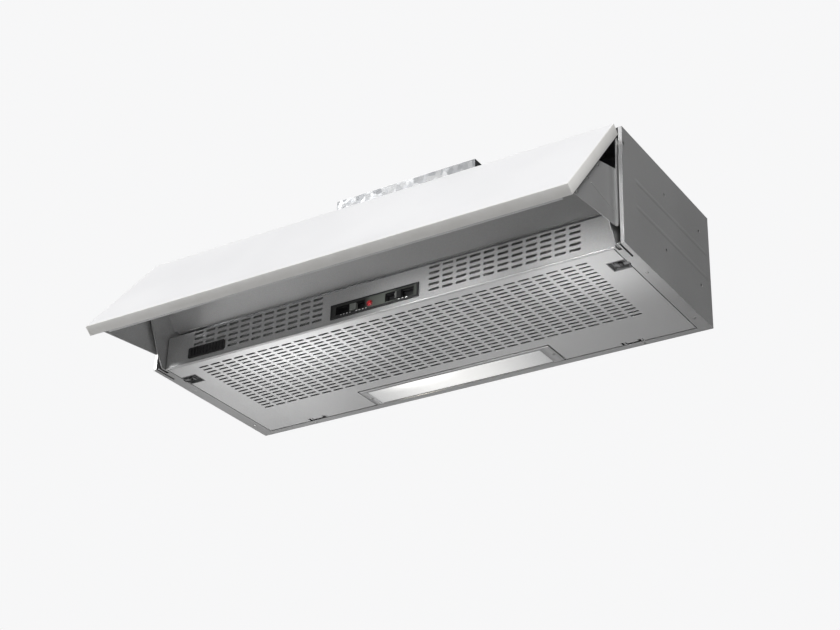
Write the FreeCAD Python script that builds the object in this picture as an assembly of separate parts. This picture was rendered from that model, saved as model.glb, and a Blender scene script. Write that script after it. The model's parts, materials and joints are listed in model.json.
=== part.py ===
import FreeCAD
import Part
import math
import os

# Built-in range hood with a tilting pull-out front flap.
# The layout is drawn from the front edge of the underside: x to the right,
# y back towards the wall, z up from the underside.  write() moves every piece
# back by DEPTH, so that the origin is the middle of the rear face's lower edge.

os.makedirs("parts", exist_ok=True)
V = FreeCAD.Vector

# ---------------------------------------------------------------- dimensions
WIDTH = 898.0            # outside width, fits a 900 niche
DEPTH = 320.0            # front edge to rear face
HEIGHT = 205.0           # canopy body, underside to top plate
T = 1.0                  # folded sheet
HW = WIDTH / 2

FACE_Y = 10.0            # front of the slotted face
FACE_HW = 430.0          # half width of the slotted face and inner box
SHELF_Z = 61.0           # top of the slotted box
RECESS_Y = 71.0          # front of the upper wall behind the flap

STRIP_IN = 427.0         # inner edge of the underside side strips
REAR_STRIP = 307.0       # front edge of the underside rear strip

GRILLE_HW = 425.5
GRILLE_Y0, GRILLE_Y1 = 12.0, 304.5
NOTCH_HW, NOTCH_Y = 190.5, 242.5
SLOT_L, SLOT_W = 20.0, 4.6
G_COLS, G_ROWS, G_PX, G_PY, G_Y0 = 30, 18, 25.0, 11.0, 29.6
F_COLS, F_ROWS, F_PX, F_PZ = 11, 5, 25.0, 10.0
F_X0, F_Z0 = 112.5, 15.5

HINGE_Y, HINGE_Z = 7.0, 176.0      # flap hinge axis
OPEN_DEG = 39.0                    # flap angle at rest, from upright
PANEL_HW, PANEL_T = 448.5, 18.0
PANEL_Z0, PANEL_Z1 = -70.0, 172.0  # upright position
PANEL_Y0 = -28.0
PANEL_Y1 = PANEL_Y0 + PANEL_T
CHEEK_X0, CHEEK_X1 = 439.8, 441.0

ARM_Y, ARM_Z = 16.0, 8.0           # pivot of the folded baffle frame
ARM_X0, ARM_X1 = 432.4, 433.9

G_HINGE_Y, G_HINGE_Z = 302.0, 5.0  # filter grille hinge axis

FAN_Y, FAN_Z = 170.0, 150.0        # fan axis, along x
DUCT_Y, DUCT_R, DUCT_WALL = 232.0, 74.7, 2.0
BOX_Z = 290.0                      # top of the fan box
DUCT_Z1 = 345.0
DAMP_Z = 303.0


# ------------------------------------------------------------------- helpers
def box(x0, x1, y0, y1, z0, z1):
    return Part.makeBox(x1 - x0, y1 - y0, z1 - z0, V(x0, y0, z0))


def poly(points):
    return Part.makePolygon([V(*p) for p in points] + [V(*points[0])])


def prism_x(pts, x0, x1):
    """(y, z) outline pushed along x"""
    return Part.Face(poly([(x0, y, z) for y, z in pts])).extrude(V(x1 - x0, 0, 0))


def prism_y(pts, y0, y1):
    """(x, z) outline pushed along y"""
    return Part.Face(poly([(x, y0, z) for x, z in pts])).extrude(V(0, y1 - y0, 0))


def prism_z(pts, z0, z1):
    return Part.Face(poly([(x, y, z0) for x, y in pts])).extrude(V(0, 0, z1 - z0))


def cyl_x(x0, x1, y, z, r):
    return Part.makeCylinder(r, x1 - x0, V(x0, y, z), V(1, 0, 0))


def cyl_y(y0, y1, x, z, r):
    return Part.makeCylinder(r, y1 - y0, V(x, y0, z), V(0, 1, 0))


def cyl_z(z0, z1, x, y, r):
    return Part.makeCylinder(r, z1 - z0, V(x, y, z0), V(0, 0, 1))


def fuse(*shapes):
    flat = []
    for s in shapes:
        flat.extend(s if isinstance(s, (list, tuple)) else [s])
    out = flat[0]
    if len(flat) > 1:
        out = out.multiFuse(flat[1:])
    return out.removeSplitter()


def group(*shapes):
    flat = []
    for s in shapes:
        flat.extend(s if isinstance(s, (list, tuple)) else [s])
    solids = []
    for s in flat:
        solids.extend(s.Solids)
    return Part.makeCompound(solids) if len(solids) > 1 else solids[0]


def mirror_x(s):
    return s.mirror(V(0, 0, 0), V(1, 0, 0))


def open_flap(s):
    """upright flap position to the open rest position"""
    r = s.copy()
    r.rotate(V(0, HINGE_Y, HINGE_Z), V(1, 0, 0), -OPEN_DEG)
    return r


def slot_wire(cx, cy, length, width, put):
    """rounded slot outline; put maps plane (u, v) to a point"""
    r = width / 2
    h = length / 2 - r
    p = [put(cx - h, cy - r), put(cx + h, cy - r), put(cx + h, cy + r), put(cx - h, cy + r)]
    right = put(cx + h + r, cy)
    left = put(cx - h - r, cy)
    return Part.Wire([
        Part.LineSegment(p[0], p[1]).toShape(),
        Part.Arc(p[1], right, p[2]).toShape(),
        Part.LineSegment(p[2], p[3]).toShape(),
        Part.Arc(p[3], left, p[0]).toShape()])


def sheet(outer, holes, push):
    """flat sheet with holes, pushed to its thickness"""
    face = Part.makeFace([outer] + holes, "Part::FaceMakerBullseye")
    return face.extrude(push)


def write(node, shape):
    s = shape.copy()
    s.translate(V(0, -DEPTH, 0))
    if not s.isValid():
        print("INVALID", node)
    print("%-22s solids %d  volume %.0f" % (node, len(s.Solids), s.Volume))
    s.exportStep("parts/%s.step" % node)


def screw_head(x, y, z, axis, r=3.5, h=1.6, cross=True):
    """low domed head with a cross recess, standing out along axis"""
    base = Part.makeCylinder(r, h * 0.45, V(0, 0, 0), V(0, 0, 1))
    cap = Part.makeCone(r, r * 0.55, h * 0.55, V(0, 0, h * 0.45), V(0, 0, 1))
    s = base.fuse(cap)
    if cross:
        c1 = Part.makeBox(r * 0.95, r * 0.2, h, V(-r * 0.475, -r * 0.1, h * 0.5))
        c2 = Part.makeBox(r * 0.2, r * 0.95, h, V(-r * 0.1, -r * 0.475, h * 0.5))
        s = s.cut(c1.fuse(c2))
    s = s.removeSplitter()
    rot = FreeCAD.Rotation(V(0, 0, 1), V(*axis))
    s.Placement = FreeCAD.Placement(V(x, y, z), rot)
    return s


def tube_path(pts, r):
    """round tube along straight runs with ball corners"""
    out = None
    for a, b in zip(pts[:-1], pts[1:]):
        a, b = V(*a), V(*b)
        c = Part.makeCylinder(r, (b - a).Length, a, b - a)
        out = c if out is None else out.fuse(c)
        out = out.fuse(Part.makeSphere(r, b))
    return out.removeSplitter()


# ------------------------------------------------------------ outer side walls
# folded sheet, inward flange along the front edge, four cabinet fixing holes
SIDE_OUT = [(0, 0), (DEPTH, 0), (DEPTH, HEIGHT), (2.2, HEIGHT), (2.2, 160), (0, 150)]
wall = prism_x(SIDE_OUT, HW - T, HW)
flange = box(443.0, HW - T, 0, T, T, 150).fuse(box(443.0, HW - T, 2.2, 2.2 + T, 162, HEIGHT - T))
wall = wall.fuse(flange).fuse(prism_x([(0, 150), (1.0, 150), (3.2, 160), (3.2, 162), (2.2, 162), (2.2, 160)], 443.0, HW - T))
for y in (150.0, 280.0):
    for z in (60.0, 160.0):
        wall = wall.cut(cyl_x(HW - T - 1, HW + 1, y, z, 2.75))
# hole that takes the flap hinge stud
wall = wall.cut(cyl_x(HW - T - 1, HW + 1, HINGE_Y, HINGE_Z, 3.0))
wall = wall.removeSplitter()
write("side_wall_right", wall)
write("side_wall_left", mirror_x(wall))

# ------------------------------------------------------------------- rear wall
rear = box(-(HW - T), HW - T, DEPTH - T, DEPTH, 0, HEIGHT)
for x in (-300.0, 300.0):
    rear = rear.cut(cyl_y(DEPTH - T - 1, DEPTH + 1, x, 170.0, 3.5))
write("rear_wall", rear)

# ------------------------------------------------------------------- top plate
plate = box(-(HW - T), HW - T, 3.2, DEPTH - T, HEIGHT - T, HEIGHT)
plate = plate.cut(box(-128, 128, 92, 300, HEIGHT - 5, HEIGHT + 5))
plate = plate.fuse(box(-FACE_HW, FACE_HW, 3.2, 4.2, 190, HEIGHT - T))
plate = plate.cut(cyl_z(HEIGHT - 5, HEIGHT + 5, -350, 250, 8.0))
write("top_plate", plate.removeSplitter())

# --------------------------------------------------------------- bottom frame
# U-shaped strips round the grille, open slots at the front for cheeks and arms
strip_r = box(STRIP_IN, HW - T, 0, DEPTH - T, 0, T)
strip_r = strip_r.cut(box(439.0, 442.3, -1, 45.5, -1, 2)).cut(box(430.6, 436.4, -1, 20, -1, 2))
strip_r = strip_r.cut(box(STRIP_IN - 1, 430.8, -1, 11.6, -1, 2)).cut(box(STRIP_IN - 1, 429.2, 56, 65, -1, 2))
strips = strip_r.fuse(mirror_x(strip_r)).fuse(box(-STRIP_IN, STRIP_IN, REAR_STRIP, DEPTH - T, 0, T))
# up-turned lip along the rear strip's front edge, clear of the grille hinge
for x0, x1 in ((-424, -340), (-290, 290), (340, 424)):
    strips = strips.fuse(box(x0, x1, 309.5, 310.5, T, 7))
write("bottom_frame", strips.removeSplitter())

# --------------------------------------------------------- slotted front face
holes = []
put_face = lambda u, v: V(u, FACE_Y, v)
for side in (-1, 1):
    for i in range(F_COLS):
        for j in range(F_ROWS):
            holes.append(slot_wire(side * (F_X0 + F_PX * i), F_Z0 + F_PZ * j, SLOT_L, SLOT_W, put_face))
WIN_X, WIN_Z0, WIN_Z1 = 78.0, 12.5, 32.5
holes.append(poly([(-WIN_X, FACE_Y, WIN_Z0), (WIN_X, FACE_Y, WIN_Z0), (WIN_X, FACE_Y, WIN_Z1), (-WIN_X, FACE_Y, WIN_Z1)]))
outer = poly([(-FACE_HW, FACE_Y, 0), (FACE_HW, FACE_Y, 0), (FACE_HW, FACE_Y, SHELF_Z), (-FACE_HW, FACE_Y, SHELF_Z)])
face = sheet(outer, holes, V(0, T, 0))
shelf = box(-FACE_HW, FACE_HW, FACE_Y + T, RECESS_Y, SHELF_Z - T, SHELF_Z)
hem = box(-FACE_HW, FACE_HW, FACE_Y - 0.8, FACE_Y, 0.2, 4.6)
write("front_slot_panel", face.fuse(shelf).fuse(hem).removeSplitter())
# flat filter mesh behind each block of slots
pads = [box(99.0, 379.0, FACE_Y + 1.6, FACE_Y + 3.4, 12.2, 58.8)]
write("front_mesh", group(pads, mirror_x(pads[0])))

# ---------------------------------------------------- inner side and upper wall
INNER = [(FACE_Y + T, T), (DEPTH - T, T), (DEPTH - T, HEIGHT - T), (RECESS_Y + T, HEIGHT - T),
         (RECESS_Y + T, SHELF_Z - T), (FACE_Y + T, SHELF_Z - T)]
inner = prism_x(INNER, FACE_HW - T, FACE_HW)
inner = inner.cut(cyl_x(FACE_HW - T - 1, FACE_HW + 1, ARM_Y, ARM_Z, 3.0))
inner = inner.cut(box(FACE_HW - T - 1, FACE_HW + 1, 52, 68, 0, 7))
write("inner_side_right", inner)
write("inner_side_left", mirror_x(inner))
upper = box(-FACE_HW, FACE_HW, RECESS_Y, RECESS_Y + T, SHELF_Z - T, HEIGHT - T)
upper = upper.cut(box(-FACE_HW - 1, -FACE_HW + T, RECESS_Y + T - 0.001, RECESS_Y + 2, 0, HEIGHT))
write("upper_front_wall", upper)

# ------------------------------------------------------------- frame screws
screws = []
for sx in (-1, 1):
    for y in (100.0, 272.0):
        screws.append(screw_head(sx * 437.5, y, 0, (0, 0, -1), 2.6, 0.9))
for x in (-330.0, 330.0):
    screws.append(screw_head(x, 313.5, 0, (0, 0, -1), 2.6, 0.9))
write("frame_screws", group(screws))

# ------------------------------------------------------- pins of the two hinges
pin = fuse(cyl_x(CHEEK_X0 - 1.6, HW - T, HINGE_Y, HINGE_Z, 3.0),
           cyl_x(CHEEK_X1 + 0.5, HW - T, HINGE_Y, HINGE_Z, 3.7),
           cyl_x(CHEEK_X0 - 2.4, CHEEK_X0 - 0.5, HINGE_Y, HINGE_Z, 5.5),
           cyl_x(HW - T, HW, HINGE_Y, HINGE_Z, 3.0))
write("flap_hinge_pins", group(pin, mirror_x(pin)))
pin = fuse(cyl_x(FACE_HW - T, FACE_HW, ARM_Y, ARM_Z, 3.0),
           cyl_x(FACE_HW, ARM_X0 - 0.4, ARM_Y, ARM_Z, 4.8),
           cyl_x(FACE_HW, ARM_X1 + 1.5, ARM_Y, ARM_Z, 3.0),
           cyl_x(ARM_X1 + 0.4, ARM_X1 + 1.9, ARM_Y, ARM_Z, 4.8))
write("arm_pivot_pins", group(pin, mirror_x(pin)))

# --------------------------------------------------------------- flap: panel
panel = box(-PANEL_HW, PANEL_HW, PANEL_Y0, PANEL_Y1, PANEL_Z0, PANEL_Z1)
panel = panel.makeFillet(0.8, [e for e in panel.Edges if e.BoundBox.YMax < PANEL_Y0 + 0.01 or e.BoundBox.YLength > 10])
write("decor_panel", open_flap(panel))

# carrier sheet screwed to the panel's back, lips along its top and bottom
CAR_T = 1.2
cy0, cy1 = PANEL_Y1, PANEL_Y1 + CAR_T
carrier = fuse(box(-424, 424, cy0, cy1, -52, 164),
               box(-424, 424, cy1, cy1 + 7, -52, -52 + CAR_T),
               box(-424, 424, cy1, cy1 + 6, 164 - CAR_T, 164))
write("carrier_plate", open_flap(carrier))

# cheeks: outline in the upright position, (y, z)
# the neck up to the hinge leans back, which leaves an open corner behind the panel
CHEEK = [(cy0, -48), (cy0 + 3, -48), (91.0, 50.0), (92.5, 56.0), (87.5, 90.0), (83.0, 97.0),
         (37.0, 139.0), (18.0, 174.0), (17.0, 180.0), (11.0, 186.0), (3.0, 186.0), (-3.0, 180.0), (-3.0, 172.0),
         (3.0, 165.0), (29.5, 130.0), (20.4, 116.5), (10.3, 102.8), (-4.3, 82.5), (cy0, 76.0)]
cheek = prism_x(CHEEK, CHEEK_X0, CHEEK_X1)
cheek = cheek.fuse(box(428.0, CHEEK_X0, cy0, cy0 + CAR_T, -48, 74))
cheek = cheek.cut(cyl_x(CHEEK_X0 - 1, CHEEK_X1 + 1, HINGE_Y, HINGE_Z, 3.05))
# stiffening crease, a shallow rib pressed outwards
rib_a, rib_b = V(0, 8, 24), V(0, 70, 62)
d = rib_b - rib_a
rib = Part.makeCylinder(1.1, d.Length, V(CHEEK_X1 - 0.55, rib_a.y, rib_a.z), d)
cheek = cheek.fuse(rib.common(box(CHEEK_X0, CHEEK_X1 + 1, -10, 100, -60, 180))).removeSplitter()
cheek_r = open_flap(cheek)
write("cheek_right", cheek_r)
write("cheek_left", mirror_x(cheek_r))

screws = []
for x in (-380.0, 0.0, 380.0):
    for z in (-20.0, 140.0):
        screws.append(open_flap(screw_head(x, cy1, z, (0, 1, 0), 4.0, 1.8)))
for sx in (-1, 1):
    for z in (-30.0, 60.0):
        screws.append(open_flap(screw_head(sx * 433.0, cy0 + CAR_T, z, (0, 1, 0), 3.5, 1.6)))
write("panel_screws", group(screws))

# ---------------------------------------------------- baffle frame (web + arms)
# one folded sheet: a sloping web across the mouth and a V-shaped arm at each end
WEB_LO, WEB_HI = (28.0, 77.5), (-29.0, 142.0)
wt = 1.2
dy, dz = WEB_HI[0] - WEB_LO[0], WEB_HI[1] - WEB_LO[1]
ln = math.hypot(dy, dz)
uy, uz = dy / ln, dz / ln
ny, nz = uz, -uy                                # rearward normal of the web
web = prism_x([WEB_LO, WEB_HI, (WEB_HI[0] + ny * wt, WEB_HI[1] + nz * wt),
               (WEB_LO[0] + ny * wt, WEB_LO[1] + nz * wt)], -ARM_X1, ARM_X1)
# rolled hem along the lower edge, stopping short of the arms at a bend relief
hem_c = (WEB_LO[0] + ny * 0.2, WEB_LO[1] + nz * 0.2)
hem_roll = cyl_x(-424.0, 424.0, hem_c[0], hem_c[1], 1.5)
web = web.fuse(hem_roll)
for sx in (-1, 1):
    relief = cyl_x(425.5, ARM_X0, WEB_LO[0], WEB_LO[1], 4.0)
    web = web.cut(relief if sx > 0 else mirror_x(relief))
# top corners clipped, clear of the open corners behind the panel
for sx in (-1, 1):
    clip = Part.Face(Part.makePolygon([V(sx * x, -60, z) for x, z in ((402, 150), (440, 150), (440, 116), (426, 116), (402, 142.5), (402, 150))]))
    web = web.cut(clip.extrude(V(0, 100, 0)))
ARM = [(2.5, 2.4), (6.0, 2.0), (17.0, 2.0), (20.6, 4.2), (22.2, 8.0), (20.5, 14.0), (19.5, 30.0), (21.0, 62.0), (30.0, 76.0), (31.0, 80.0),
       (-2.0, 117.5), (-6.0, 116.0), (-33.0, 112.0), (-41.0, 84.0), (-14.5, 27.0)]
arm = prism_x(ARM, ARM_X0, ARM_X1)
arm = arm.cut(cyl_x(ARM_X0 - 1, ARM_X1 + 1, ARM_Y, ARM_Z, 3.05))
frame = web.fuse(arm).fuse(mirror_x(arm)).removeSplitter()
write("baffle_frame", frame)
# soft edge strip clipped over the web's top edge
g0 = (WEB_HI[0] + ny * wt / 2, WEB_HI[1] + nz * wt / 2)
strip = prism_x([(g0[0] - ny * 1.6 + uy * 0.0, g0[1] - nz * 1.6 + uz * 0.0),
                 (g0[0] - ny * 1.6 + uy * 2.6, g0[1] - nz * 1.6 + uz * 2.6),
                 (g0[0] + ny * 1.6 + uy * 2.6, g0[1] + nz * 1.6 + uz * 2.6),
                 (g0[0] + ny * 1.6 + uy * 0.0, g0[1] + nz * 1.6 + uz * 0.0)], -401, 401)
write("glide_strip", strip)

# ------------------------------------------------------------- filter grille
holes = []
put_g = lambda u, v: V(u, v, 0)
for i in range(G_COLS):
    for j in range(G_ROWS):
        holes.append(slot_wire((i - (G_COLS - 1) / 2) * G_PX, G_Y0 + G_PY * j, SLOT_L, SLOT_W, put_g))
LX0, LX1, LY0, LY1 = 395.0, GRILLE_HW, 46.0, 75.0        # latch cut-outs
HN0, HN1, HNY = 295.5, 334.5, 296.0                      # hinge notches
right = [(GRILLE_HW, GRILLE_Y0), (GRILLE_HW, LY0), (LX0, LY0), (LX0, LY1), (GRILLE_HW, LY1), (GRILLE_HW, GRILLE_Y1),
         (HN1, GRILLE_Y1), (HN1, HNY), (HN0, HNY), (HN0, GRILLE_Y1), (NOTCH_HW, GRILLE_Y1), (NOTCH_HW, NOTCH_Y)]
left = [(-x, y) for x, y in reversed(right)]
outer = poly([(x, y, 0) for x, y in right + left])
grille = sheet(outer, holes, V(0, 0, T))
fl = [box(-420, 420, GRILLE_Y0, GRILLE_Y0 + T, T, 9)]
for sx in (-1, 1):
    a = box(GRILLE_HW - T, GRILLE_HW, 14, LY0 - 1, T, 9)
    b = box(GRILLE_HW - T, GRILLE_HW, LY1 + 1, 292, T, 9)
    c = box(NOTCH_HW, NOTCH_HW + T, NOTCH_Y + 2, 292, T, 9)
    k = cyl_x(305, 325, G_HINGE_Y, G_HINGE_Z, 4.2)
    tab = prism_x([(HNY, 0), (G_HINGE_Y - 0.5, 0), (G_HINGE_Y - 0.5, G_HINGE_Z), (G_HINGE_Y - 4.0, G_HINGE_Z), (HNY, T)], 305, 325)
    tab = tab.common(box(305, 325, HNY, G_HINGE_Y + 5, 0, 12))
    kn = k.common(box(300, 330, G_HINGE_Y - 10, G_HINGE_Y + 10, 0.7, 12)).fuse(tab)
    kn = kn.cut(cyl_x(300, 330, G_HINGE_Y, G_HINGE_Z, 2.05))
    part = [a, b, c, kn]
    fl.extend(part if sx > 0 else [mirror_x(p) for p in part])
fl.append(box(-NOTCH_HW + 4, NOTCH_HW - 4, NOTCH_Y - T, NOTCH_Y, T, 9))
grille = grille.multiFuse(fl).removeSplitter()
write("filter_grille", grille)

# filter mat behind the slots and its three retaining wires
mat = box(-400, 400, 20, 238, 3.0, 9.0)
mat = mat.cut(box(385, 405, 38, 84, 0, 12)).cut(box(-405, -385, 38, 84, 0, 12))
write("filter_mat", mat)
wires = []
for x in (-270.0, 0.0, 270.0):
    if x:
        bent = [(13.5, 1.05), (15.9, 1.05), (15.9, 9.1), (238.6, 9.1), (238.6, 1.05), (241.0, 1.05), (241.0, 11.5), (13.5, 11.5)]
    else:
        bent = [(13.5, 1.05), (15.9, 1.05), (15.9, 9.1), (242.4, 9.1), (242.4, 11.5), (13.5, 11.5)]
    wires.append(prism_x(bent, x - 1.2, x + 1.2))
write("filter_wires", group(wires))

# ------------------------------------------------------------------- latches
# cup set in the grille's cut-out; the slider's finger tab moves towards the middle
cup = box(LX0 + 0.3, LX1 - 0.2, LY0 + 0.3, LY1 - 0.3, -0.2, 8.0)
cup = cup.cut(box(LX0 + 1.8, LX1 - 1.7, LY0 + 1.8, LY1 - 1.8, -1, 6.5))
cup = cup.cut(box(LX1 - 3, LX1 + 1, 55.3, 65.7, -1, 3.6))          # way out for the nose
cup = cup.cut(box(LX0 + 5.4, LX1 - 1.6, 56.2, 64.8, 6, 9))            # guide slot in the cup's floor
cup = cup.removeSplitter()
write("latch_housing_right", cup)
write("latch_housing_left", mirror_x(cup))
slider = fuse(
    box(405.0, 423.2, 55.8, 65.2, 3.9, 6.0),                        # sliding block under the floor
    box(406.0, 422.0, 56.6, 64.4, 6.0, 9.4),                        # neck through the guide slot
    box(404.5, 423.5, 54.0, 67.0, 9.4, 10.4),                       # keeper plate
    box(407.0, 410.5, 55.8, 65.2, 0.6, 3.9),                        # finger wall
    box(405.0, 412.0, 55.8, 65.2, 3.2, 3.9),
    box(418.0, 428.6, 57.2, 63.8, 1.3, 3.3),                        # nose
    box(418.0, 423.0, 56.4, 64.6, 3.3, 3.9))
write("latch_slider_right", slider)
write("latch_slider_left", mirror_x(slider))

# ------------------------------------------------------------- grille hinge
hp = []
for sx in (-1, 1):
    rod = cyl_x(297.0, 333.0, G_HINGE_Y, G_HINGE_Z, 2.0)
    b1 = prism_x([(G_HINGE_Y - 4, 1.6), (DEPTH - T, 1.6), (DEPTH - T, 12), (G_HINGE_Y - 1, 9.6), (G_HINGE_Y - 4, 7)], 298.0, 301.0)
    b1 = b1.cut(box(290, 340, 309.0, 311.0, 0, 7.2))
    b2 = b1.copy()
    b2.translate(V(31, 0, 0))
    s = fuse(rod, b1, b2)
    hp.append(s if sx > 0 else mirror_x(s))
write("grille_hinge_pins", group(hp))

# ------------------------------------------------------------- control window
BX, BZ0, BZ1 = 85.0, 9.5, 35.5
bez = box(-BX, BX, 7.2, FACE_Y, BZ0, BZ1)
bez = bez.makeFillet(1.6, [e for e in bez.Edges if e.BoundBox.YMax < 7.21])
bez = bez.fuse(box(-WIN_X + 0.2, WIN_X - 0.2, FACE_Y, FACE_Y + 3.0, WIN_Z0 + 0.2, WIN_Z1 - 0.2))
bez = bez.cut(box(-81.5, 81.5, 5, 8.6, 12.6, 32.4))                 # shallow field for the plate
WELL = {"l": (-74.0, -17.0), "r": (22.0, 76.0)}
for k in WELL:
    bez = bez.cut(box(WELL[k][0], WELL[k][1], 5, 20, 14.6, 30.0))
bez = bez.cut(cyl_y(5, 20, -7.5, 20.5, 4.1))
write("control_bezel", bez.removeSplitter())
plate = box(-81.5, 81.5, 7.8, 8.6, 12.6, 32.4)
for k in WELL:
    plate = plate.cut(box(WELL[k][0], WELL[k][1], 5, 20, 14.6, 30.0))
plate = plate.cut(cyl_y(5, 20, -7.5, 20.5, 4.1))
write("control_plate", plate)
lens = cyl_y(4.6, 13.5, -7.5, 20.5, 3.95)
lens = lens.makeFillet(1.7, [e for e in lens.Edges if e.BoundBox.YMax < 4.61])
write("pilot_lens", lens)
sw = []
for k in WELL:
    x0, x1 = WELL[k]
    b = box(x0 - 1.5, x1 + 1.5, 13.0, 26.0, 13.4, 31.4)
    b = b.cut(box(x0 + 1.0, x1 - 1.0, 12, 19.0, 16.0, 28.6))
    tabs = box(x0 + 6, x0 + 9, 26, 31, 18, 26).fuse(box(x1 - 9, x1 - 6, 26, 31, 18, 26))
    sw.append(fuse(b, tabs))
write("switch_bodies", group(sw))


def knob(x0, x1):
    k = box(x0, x1, 6.2, 12.4, 16.4, 28.2)
    k = k.makeFillet(0.7, [e for e in k.Edges if e.BoundBox.YMax < 6.21])
    for i in range(3):
        xg = x0 + (x1 - x0) * (i + 1) / 4.0
        k = k.cut(box(xg - 0.35, xg + 0.35, 6.0, 6.8, 17.4, 27.2))
    return fuse(k, box((x0 + x1) / 2 - 2.2, (x0 + x1) / 2 + 2.2, 12.4, 18.4, 18.0, 26.6))


write("speed_knob", knob(-46.0, -34.0))
write("light_knob", knob(41.0, 53.0))

# plain black plate with upright ribs at the face's left end
tp = box(-382.0, -304.0, 8.4, FACE_Y, 10.5, 30.0)
tp = tp.makeFillet(3.0, [e for e in tp.Edges if e.BoundBox.YLength > 1.0])
for i in range(11):
    x = -376.0 + i * 6.6
    tp = tp.fuse(box(x, x + 1.8, 7.5, 8.4, 13.5, 27.0))
write("trim_plate", tp.removeSplitter())

# -------------------------------------------------------------- light fitting
tray = box(-176, 176, 257, 305.5, 2.2, 40.0).cut(box(-175, 175, 258, 304.5, 1, 39.0))
tray = tray.fuse(box(-188, -176, 257, 305.5, 2.2, 3.2)).fuse(box(176, 188, 257, 305.5, 2.2, 3.2))
tray = tray.fuse(box(-188, 188, 247, 257, 2.2, 3.2))
tray = tray.cut(cyl_x(-190, -170, 281, 18, 9.0))
write("lamp_tray", tray.removeSplitter())
cover = box(-188.5, 188.5, 244.5, 304.5, -0.9, 0.9)
cover = cover.makeFillet(0.6, [e for e in cover.Edges if e.BoundBox.ZMax < -0.89])
cover = cover.fuse(box(-174, 174, 259, 261, 0.9, 2.2)).fuse(box(-174, 174, 301, 303, 0.9, 2.2))
cover = cover.fuse(box(-186, -176.5, 262, 300, 0.9, 2.2)).fuse(box(176.5, 186, 262, 300, 0.9, 2.2))
for sx in (-1, 1):
    cover = cover.cut(cyl_z(-2, 4, sx * 181.5, 276, 1.6))
write("lamp_cover", cover.removeSplitter())
write("lamp_cover_screws", group([fuse(screw_head(sx * 181.5, 276, -0.9, (0, 0, -1), 3.0, 1.1), cyl_z(-0.9, 2.2, sx * 181.5, 276, 1.5)) for sx in (-1, 1)]))
holder = fuse(cyl_x(-175, -138, 281, 18, 11.5), cyl_x(-186, -175, 281, 18, 8.0))
holder = holder.cut(cyl_x(-160, -137, 281, 18, 7.3))
write("lamp_holder", holder)
bulb = fuse(cyl_x(-158, -134, 281, 18, 7.2),
            Part.makeCone(7.2, 11.0, 8, V(-134, 281, 18), V(1, 0, 0)),
            cyl_x(-126, -78, 281, 18, 11.0), Part.makeSphere(11.0, V(-78, 281, 18)))
write("lamp", bulb)

# ------------------------------------------------------------------- fan box
fb = box(-140, 140, 84, 312, HEIGHT, BOX_Z).cut(box(-139, 139, 85, 311, HEIGHT - 1, BOX_Z - T))
fb = fb.fuse(box(-152, 152, 74, 318, HEIGHT, HEIGHT + T).cut(box(-139, 139, 85, 311, HEIGHT - 1, HEIGHT + 2)))
fb = fb.cut(cyl_z(BOX_Z - 3, BOX_Z + 1, 0, DUCT_Y, DUCT_R - DUCT_WALL))
write("fan_box", fb.removeSplitter())
screws = []
for x in (-146.0, 146.0):
    for y in (100.0, 198.0, 296.0):
        screws.append(screw_head(x, y, HEIGHT + T, (0, 0, 1), 3.5, 1.8))
for a in (45, 135, 225, 315):
    screws.append(screw_head(83.0 * math.cos(math.radians(a)) * 0.985, DUCT_Y + 79.5 * math.sin(math.radians(a)) * 0.95, BOX_Z + 2.0, (0, 0, 1), 3.0, 1.6))
write("fan_box_screws", group(screws))

# duct spigot with stop ring for the two damper flaps
sp = fuse(cyl_z(BOX_Z, BOX_Z + 2, 0, DUCT_Y, 79.5).fuse(box(-66, 66, DUCT_Y - 66, DUCT_Y + 66, BOX_Z, BOX_Z + 2)), cyl_z(BOX_Z, DUCT_Z1, 0, DUCT_Y, DUCT_R))
sp = sp.cut(cyl_z(BOX_Z - 1, DUCT_Z1 + 1, 0, DUCT_Y, DUCT_R - DUCT_WALL))
ring = cyl_z(DAMP_Z - 2.3, DAMP_Z - 0.9, 0, DUCT_Y, DUCT_R - DUCT_WALL).cut(cyl_z(DAMP_Z - 4, DAMP_Z, 0, DUCT_Y, 68.0))
for sx in (-1, 1):
    ring = ring.cut(box(sx * 60 - 14, sx * 60 + 14, DUCT_Y - 5, DUCT_Y + 5, DAMP_Z - 4, DAMP_Z + 1))
sp = sp.fuse(ring).removeSplitter()
write("duct_spigot", sp)
PIN_X = math.sqrt((DUCT_R - DUCT_WALL) ** 2 - 1.5 ** 2)
write("damper_pin", cyl_x(-PIN_X + 0.05, PIN_X - 0.05, DUCT_Y, DAMP_Z, 1.5))


def damper(side):
    """half disc on barrels round the cross pin; side -1 front, +1 rear"""
    r = 71.6
    half = cyl_z(DAMP_Z - 0.5, DAMP_Z + 0.5, 0, DUCT_Y, r)
    if side < 0:
        half = half.common(box(-80, 80, DUCT_Y - 80, DUCT_Y - 3.5, 0, 400))
        xs = (-58.0, -3.0)
    else:
        half = half.common(box(-80, 80, DUCT_Y + 3.5, DUCT_Y + 80, 0, 400))
        xs = (3.0, 58.0)
    barrel = cyl_x(xs[0], xs[1], DUCT_Y, DAMP_Z, 3.0)
    y0, y1 = sorted((DUCT_Y + side * 1.0, DUCT_Y + side * 4.0))
    link = box(xs[0], xs[1], y0, y1, DAMP_Z - 0.5, DAMP_Z + 0.5)
    out = half.fuse(barrel).fuse(link)
    rib = box(xs[0] + 20, xs[0] + 22, *sorted((DUCT_Y + side * 4.0, DUCT_Y + side * 52.0)), DAMP_Z + 0.5, DAMP_Z + 2.5)
    return out.fuse(rib).cut(cyl_x(-80, 80, DUCT_Y, DAMP_Z, 1.56)).removeSplitter()


write("damper_flap_front", damper(-1))
write("damper_flap_rear", damper(1))

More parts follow.
